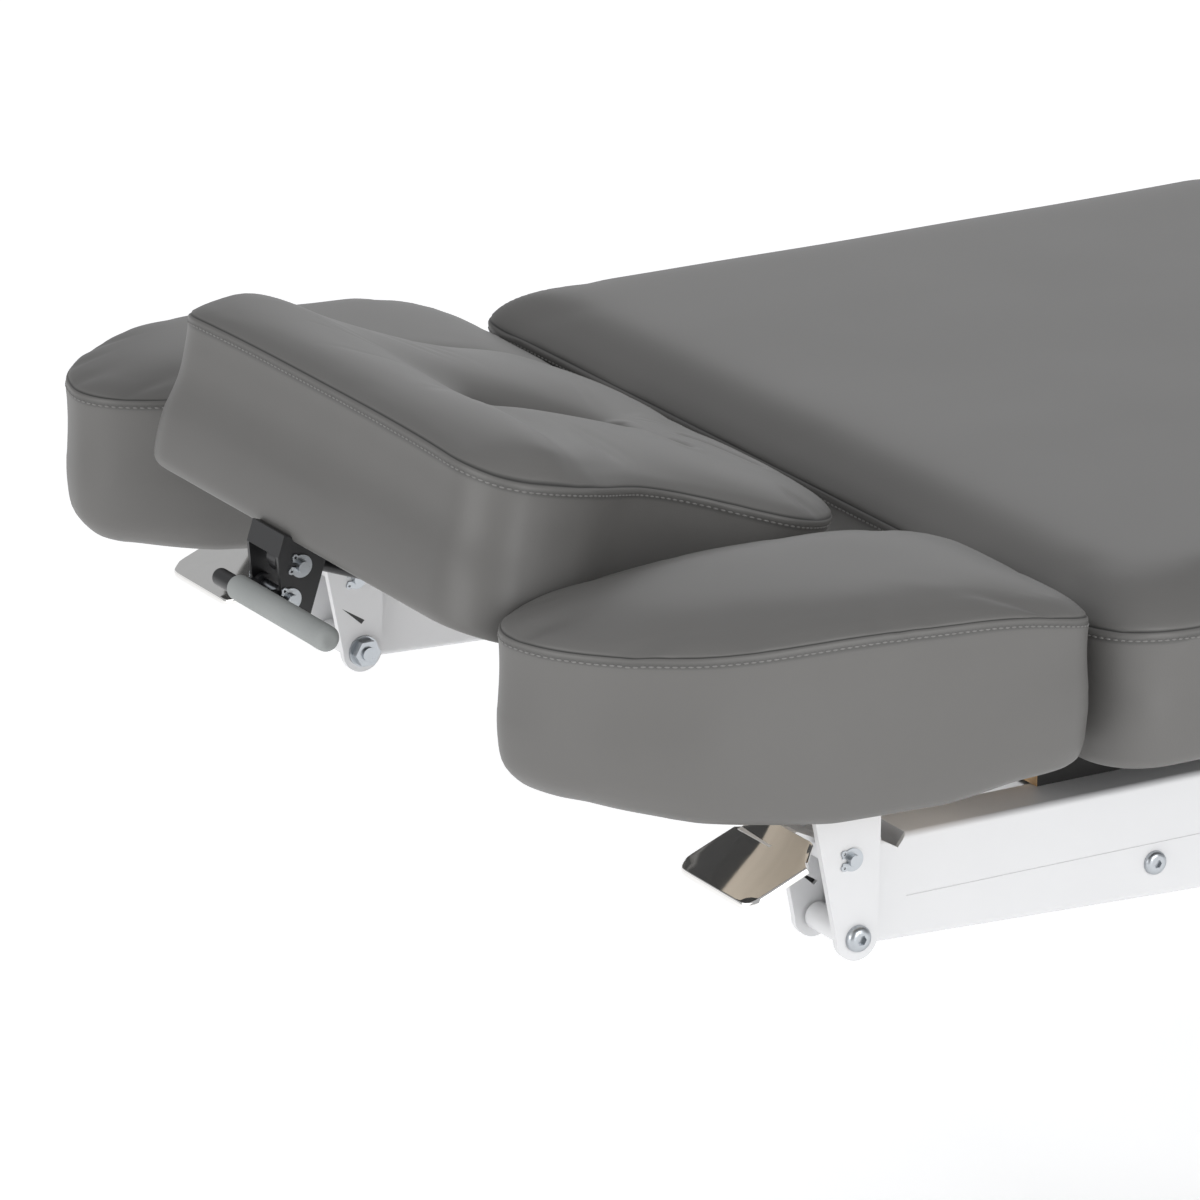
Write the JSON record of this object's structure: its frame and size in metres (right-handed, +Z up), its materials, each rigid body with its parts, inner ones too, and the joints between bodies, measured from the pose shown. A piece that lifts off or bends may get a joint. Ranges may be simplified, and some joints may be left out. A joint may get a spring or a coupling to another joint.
{
  "type": "electric massage bed",
  "caption": "Height-adjustable electric massage bed with a tilting padded back, seat and leg section, a headrest with a face hole and drop-down padded armrests.",
  "frame": {"origin": "on the floor under the middle of the bed, with the lift half way up", "axes": "+Z up, -X towards the headrest, +Y towards the far armrest"},
  "size_m": [2.0114, 0.8224, 0.8987],
  "materials": {
    "white_frame": "gloss powder coat",
    "grey_column": "satin powder coat",
    "black_metal": "semi-gloss black",
    "vinyl": "soft grained grey vinyl over foam",
    "board": "black-stained plywood with raw tan edges",
    "foam_grip": "matt grey foam",
    "zinc": "zinc plated",
    "chrome": "polished",
    "steel": "bright steel",
    "plastic": "matt black",
    "rubber": "matt black"
  },
  "bodies": {
    "base": {"base_spine": "white_frame", "base_cross_tubes": "white_frame", "base_end_caps": "plastic", "levelling_feet": "rubber", "column_outer_tubes": "grey_column", "lift_motors": "plastic", "control_box": "plastic", "sockets": "plastic", "lift_spindles": "steel"},
    "column_mid": {"column_mid_tubes": "grey_column"},
    "bed_frame": {"column_inner_tubes": "grey_column", "chassis_tubes": "white_frame", "anchor_bars": "steel", "seat_stubs": "white_frame", "seat_rails": "white_frame", "seat_boards": "board", "seat_cushion": "vinyl", "seat_hinge_straps": "black_metal", "hinge_pins": "zinc"},
    "backrest": {"back_rail_left": "white_frame", "back_rail_right": "white_frame", "back_cross_tubes": "white_frame", "back_lug": "white_frame", "back_boards": "board", "back_cushion": "vinyl", "back_hinge_straps": "black_metal", "head_carrier": "white_frame", "head_pins": "zinc", "rail_screws": "zinc"},
    "headrest": {"head_cushion": "vinyl", "head_board": "board", "head_lugs": "black_metal", "head_bracket": "black_metal", "head_bracket_pins": "zinc"},
    "head_lever": {"head_lever": "black_metal", "head_grip": "foam_grip"},
    "strut_cylinder": {"strut_cylinder": "black_metal"},
    "strut_rod": {"strut_rod": "black_metal"},
    "back_actuator": {"back_actuator": "plastic"},
    "back_actuator_rod": {"back_actuator_rod": "steel"},
    "leg_actuator": {"leg_actuator": "plastic"},
    "leg_actuator_rod": {"leg_actuator_rod": "steel"},
    "leg": {"leg_rails": "white_frame", "leg_cross_tubes": "white_frame", "leg_lug": "white_frame", "leg_boards": "board", "leg_cushion": "vinyl", "leg_hinge_straps": "black_metal"},
    "arm_left": {"left_arm_cushion": "vinyl", "left_arm_board": "board", "left_arm_bracket": "white_frame", "left_arm_fasteners": "zinc"},
    "paddle_left": {"left_paddle": "chrome", "left_pawl": "white_frame"},
    "arm_right": {"right_arm_cushion": "vinyl", "right_arm_board": "board", "right_arm_bracket": "white_frame", "right_arm_fasteners": "zinc"},
    "paddle_right": {"right_paddle": "chrome", "right_pawl": "white_frame"}
  },
  "joints": [
    {"name": "lift", "type": "slide", "parent": "base", "child": "bed_frame", "axis": [0, 0, 1], "range_m": [-0.14, 0.14]},
    {"name": "column_mid_slide", "type": "slide", "parent": "base", "child": "column_mid", "axis": [0, 0, 1], "range_m": [-0.07, 0.07]},
    {"name": "back_tilt", "type": "hinge", "parent": "bed_frame", "child": "backrest", "pos_m": [0.098, 0, 0.77], "axis": [0, 1, 0], "range_deg": [0, 60]},
    {"name": "back_actuator_swing", "type": "hinge", "parent": "bed_frame", "child": "back_actuator", "pos_m": [0.043, 0, 0.575], "axis": [0, 1, 0], "range_deg": [0, 56]},
    {"name": "back_actuator_push", "type": "slide", "parent": "back_actuator", "child": "back_actuator_rod", "axis": [-0.999, 0, 0.0454], "range_m": [0, 0.203]},
    {"name": "leg_tilt", "type": "hinge", "parent": "bed_frame", "child": "leg", "pos_m": [0.492, 0, 0.77], "axis": [0, -1, 0], "range_deg": [0, 30]},
    {"name": "leg_actuator_swing", "type": "hinge", "parent": "bed_frame", "child": "leg_actuator", "pos_m": [0.547, 0, 0.575], "axis": [0, -1, 0], "range_deg": [0, 31]},
    {"name": "leg_actuator_push", "type": "slide", "parent": "leg_actuator", "child": "leg_actuator_rod", "axis": [0.999, 0, 0.0454], "range_m": [0, 0.107]},
    {"name": "head_tilt", "type": "hinge", "parent": "backrest", "child": "headrest", "pos_m": [-0.626, 0, 0.68], "axis": [0, 1, 0], "range_deg": [-45, 12]},
    {"name": "strut_swing", "type": "hinge", "parent": "backrest", "child": "strut_cylinder", "pos_m": [-0.616, 0, 0.646], "axis": [0, 1, 0], "range_deg": [-44, 12]},
    {"name": "strut_push", "type": "slide", "parent": "strut_cylinder", "child": "strut_rod", "axis": [-0.9374, 0, 0.3484], "range_m": [-0.026, 0.0075]},
    {"name": "head_release", "type": "hinge", "parent": "headrest", "child": "head_lever", "pos_m": [-0.98046, 0, 0.75732], "axis": [0, 1, 0], "range_deg": [0, 10], "stiffness_Nm_per_rad": 8, "springref_deg": -5.73},
    {"name": "arm_left_tilt", "type": "hinge", "parent": "backrest", "child": "arm_left", "pos_m": [-0.756, 0.318, 0.59], "axis": [0, 1, 0], "range_deg": [-45, 0]},
    {"name": "paddle_left_press", "type": "hinge", "parent": "arm_left", "child": "paddle_left", "pos_m": [-0.7606, 0.318, 0.6434], "axis": [0, 1, 0], "range_deg": [0, 12], "stiffness_Nm_per_rad": 4, "springref_deg": -5.73},
    {"name": "arm_right_tilt", "type": "hinge", "parent": "backrest", "child": "arm_right", "pos_m": [-0.756, -0.318, 0.59], "axis": [0, 1, 0], "range_deg": [-45, 0]},
    {"name": "paddle_right_press", "type": "hinge", "parent": "arm_right", "child": "paddle_right", "pos_m": [-0.7606, -0.318, 0.6434], "axis": [0, 1, 0], "range_deg": [0, 12], "stiffness_Nm_per_rad": 4, "springref_deg": -5.73}
  ],
  "couplings": [
    {"joint": "column_mid_slide", "follows": "lift", "ratio": 0.5},
    {"joint": "back_actuator_swing", "follows": "back_tilt", "ratio": 0.9209},
    {"joint": "back_actuator_push", "follows": "back_tilt", "m_per_rad": 0.19235},
    {"joint": "leg_actuator_swing", "follows": "leg_tilt", "ratio": 1.0062},
    {"joint": "leg_actuator_push", "follows": "leg_tilt", "m_per_rad": 0.20038},
    {"joint": "strut_swing", "follows": "head_tilt", "ratio": 0.96723},
    {"joint": "strut_push", "follows": "head_tilt", "m_per_rad": 0.031942}
  ]
}
